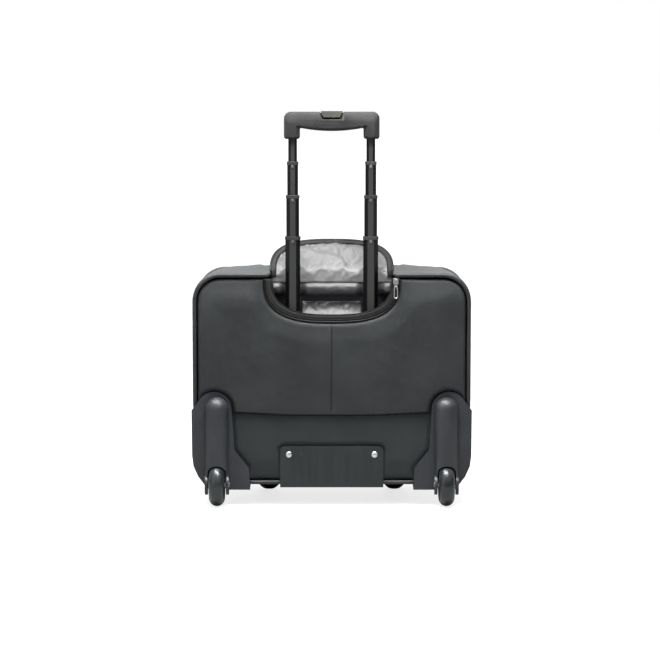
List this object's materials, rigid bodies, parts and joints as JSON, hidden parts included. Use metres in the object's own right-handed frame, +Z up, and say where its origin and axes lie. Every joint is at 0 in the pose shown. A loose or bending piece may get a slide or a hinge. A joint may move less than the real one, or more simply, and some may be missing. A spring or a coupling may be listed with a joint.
{
  "type": "rolling pilot flight case",
  "caption": "Soft-sided rolling pilot case with telescopic trolley handle, corner wheels, handle pocket with a turned-back cover, zipped front section and feet.",
  "frame": {"origin": "on the floor, at the middle of the whole object's box", "axes": "+Z up; +X across the case, to the right seen from behind; +Y from the wheeled rear panel towards the front pocket"},
  "size_m": [0.444, 0.2536, 0.624],
  "materials": {
    "leather": "satin grained leather-look, charcoal",
    "kick_panel": "matte fine-grained leather-look, charcoal",
    "binding": "matte woven binding and zip tape, near black",
    "lining": "satin woven nylon lining, mid grey",
    "board": "matte fibreboard",
    "moulded": "fine-textured moulded nylon, dark grey",
    "collar": "smooth moulded nylon, dark grey",
    "button": "smooth moulded plastic, near black",
    "tube": "satin coated aluminium tube, dark grey",
    "steel": "plated steel",
    "rivet": "bright nickel-plated steel",
    "nickel": "polished nickel-plated zinc",
    "tyre": "glossy dark polyurethane",
    "hub": "moulded nylon, dark grey",
    "foot": "matte black moulded rubber"
  },
  "bodies": {
    "case": {"rear_upper_panels": "leather", "rear_kick_panel": "kick_panel", "rear_piping": "leather", "main_gusset": "leather", "opening_binding": "binding", "cover_slider": "nickel", "pocket_lining": "lining", "cover_base": "lining", "back_board": "board", "base_board": "board", "wheel_housing_left": "moulded", "wheel_housing_right": "moulded", "wheel_axles": "steel", "frame_screws": "steel", "skid_plate": "moulded", "skid_rivets": "rivet", "front_feet": "foot", "outer_tubes": "tube", "tube_base_bracket": "moulded", "tube_top_yoke": "moulded", "main_zip_rear": "binding", "carry_brackets": "moulded"},
    "stage_1": {"stage1_tubes": "tube", "stage1_collars": "collar", "stage1_plugs": "collar"},
    "stage_2": {"stage2_tubes": "tube", "stage2_collars": "collar", "stage2_plugs": "collar"},
    "stage_3": {"stage3_tubes": "tube", "stage3_collars": "collar", "stage3_plugs": "collar"},
    "grip": {"inner_tubes": "tube", "inner_plugs": "collar", "grip_rear_shell": "moulded", "grip_front_shell": "moulded", "button_spring": "steel"},
    "button": {"release_button": "button", "push_rods": "steel"},
    "wheel_left": {"tyre_left": "tyre", "hub_left": "hub", "bearings_left": "steel"},
    "wheel_right": {"tyre_right": "tyre", "hub_right": "hub", "bearings_right": "steel"},
    "cover": {"handle_cover": "lining", "cover_binding": "binding"},
    "cover_pull": {"cover_pull": "nickel"},
    "lid": {"lid_gusset": "leather", "lid_piping": "leather", "front_panel": "leather", "lid_inner_panel": "lining", "front_pocket": "leather", "lid_zip": "binding"},
    "pocket_slider": {"pocket_slider": "nickel"},
    "pocket_pull": {"pocket_pull": "nickel"},
    "main_slider_left": {"main_slider_left": "nickel"},
    "main_slider_right": {"main_slider_right": "nickel"},
    "main_pull_left": {"main_pull_left": "nickel"},
    "main_pull_right": {"main_pull_right": "nickel"},
    "carry_handle": {"carry_handle": "leather"}
  },
  "joints": [
    {"name": "stage_1_slide", "type": "slide", "parent": "case", "child": "stage_1", "axis": [0, 0, 1], "range_m": [-0.1315, 0.05]},
    {"name": "stage_2_slide", "type": "slide", "parent": "stage_1", "child": "stage_2", "axis": [0, 0, 1], "range_m": [-0.058, 0.1]},
    {"name": "stage_3_slide", "type": "slide", "parent": "stage_2", "child": "stage_3", "axis": [0, 0, 1], "range_m": [-0.046, 0.11]},
    {"name": "grip_slide", "type": "slide", "parent": "stage_3", "child": "grip", "axis": [0, 0, 1], "range_m": [-0.035, 0.115]},
    {"name": "button_press", "type": "slide", "parent": "grip", "child": "button", "axis": [0, 0, -1], "range_m": [0, 0.0025], "stiffness_N_per_m": 600, "springref_m": -0.003, "deforming": ["button_spring"]},
    {"name": "wheel_left_spin", "type": "hinge", "parent": "case", "child": "wheel_left", "pos_m": [-0.182, -0.0928, 0.034], "axis": [1, 0, 0], "continuous": true},
    {"name": "wheel_right_spin", "type": "hinge", "parent": "case", "child": "wheel_right", "pos_m": [0.182, -0.0928, 0.034], "axis": [1, 0, 0], "continuous": true},
    {"name": "cover_hinge", "type": "hinge", "parent": "case", "child": "cover", "pos_m": [0, -0.0538, 0.3716], "axis": [-1, 0, 0], "range_deg": [-42, 30]},
    {"name": "cover_pull_hinge", "type": "hinge", "parent": "case", "child": "cover_pull", "pos_m": [0.101, -0.0908, 0.359], "axis": [-1, 0, 0], "range_deg": [0, 150]},
    {"name": "lid_hinge", "type": "hinge", "parent": "case", "child": "lid", "pos_m": [0, 0.0915, 0.033], "axis": [-1, 0, 0], "range_deg": [0, 22]},
    {"name": "pocket_slider_run", "type": "slide", "parent": "lid", "child": "pocket_slider", "axis": [-1, 0, 0], "range_m": [0, 0.255]},
    {"name": "pocket_pull_hinge", "type": "hinge", "parent": "pocket_slider", "child": "pocket_pull", "pos_m": [0.11, 0.1249, 0.285], "axis": [1, 0, 0], "range_deg": [0, 150]},
    {"name": "main_slider_left_run", "type": "slide", "parent": "case", "child": "main_slider_left", "axis": [-1, 0, 0], "range_m": [0, 0.14]},
    {"name": "main_slider_right_run", "type": "slide", "parent": "case", "child": "main_slider_right", "axis": [1, 0, 0], "range_m": [0, 0.14]},
    {"name": "main_pull_left_hinge", "type": "hinge", "parent": "main_slider_left", "child": "main_pull_left", "pos_m": [-0.022, 0.0952, 0.368], "axis": [1, 0, 0], "range_deg": [0, 90]},
    {"name": "main_pull_right_hinge", "type": "hinge", "parent": "main_slider_right", "child": "main_pull_right", "pos_m": [0.022, 0.0952, 0.368], "axis": [1, 0, 0], "range_deg": [0, 90]},
    {"name": "carry_handle_hinge", "type": "hinge", "parent": "case", "child": "carry_handle", "pos_m": [0, 0.0332, 0.377], "axis": [1, 0, 0], "range_deg": [0, 62]}
  ]
}
